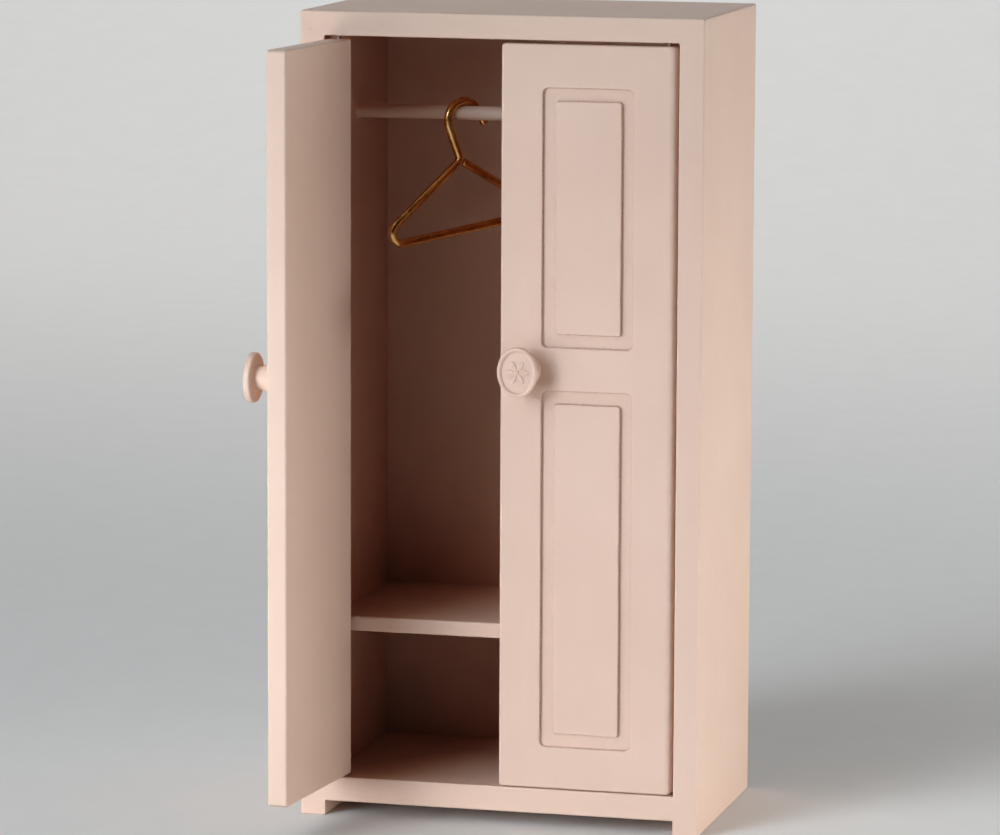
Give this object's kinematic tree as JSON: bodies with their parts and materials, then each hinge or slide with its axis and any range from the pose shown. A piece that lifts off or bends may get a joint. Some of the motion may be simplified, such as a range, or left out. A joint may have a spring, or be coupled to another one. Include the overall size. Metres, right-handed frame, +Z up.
{
  "type": "miniature wardrobe",
  "caption": "Miniature two-door wardrobe with inset panelled doors on pivot pins, oval knobs, a shelf and a rail with a wire clothes hanger.",
  "frame": {"origin": "on the floor, midway between the two side panels and midway between the front and the back of the carcass", "axes": "+X to the right as one faces the doors, +Y towards the back panel, +Z up"},
  "size_m": [0.1033, 0.0968, 0.1979],
  "materials": {
    "painted_wood": "satin powder-pink paint over board",
    "birch_dowel": "raw turned dowel",
    "steel_pin": "drawn steel pin",
    "gilt_wire": "polished gilt wire"
  },
  "bodies": {
    "cabinet": {"left_side_panel": "painted_wood", "right_side_panel": "painted_wood", "top_panel": "painted_wood", "bottom_panel": "painted_wood", "back_panel": "painted_wood", "shelf": "painted_wood", "hanging_rail": "painted_wood", "top_panel_dowels": "birch_dowel", "bottom_panel_dowels": "birch_dowel", "shelf_pegs": "birch_dowel", "back_panel_brads": "steel_pin"},
    "left_door": {"left_door": "painted_wood", "left_knob": "painted_wood", "left_door_top_pin": "steel_pin", "left_door_bottom_pin": "steel_pin"},
    "right_door": {"right_door": "painted_wood", "right_knob": "painted_wood", "right_door_top_pin": "steel_pin", "right_door_bottom_pin": "steel_pin"},
    "hanger": {"clothes_hanger": "gilt_wire"}
  },
  "joints": [
    {"name": "left_door_hinge", "type": "hinge", "parent": "cabinet", "child": "left_door", "pos_m": [-0.0409, -0.02685, 0.01], "axis": [0, 0, 1], "range_deg": [0, 95]},
    {"name": "right_door_hinge", "type": "hinge", "parent": "cabinet", "child": "right_door", "pos_m": [0.0409, -0.02685, 0.01], "axis": [0, 0, 1], "range_deg": [0, 95]},
    {"name": "hanger_slide", "type": "slide", "parent": "cabinet", "child": "hanger", "axis": [1, 0, 0], "range_m": [-0.01, 0.045]}
  ]
}
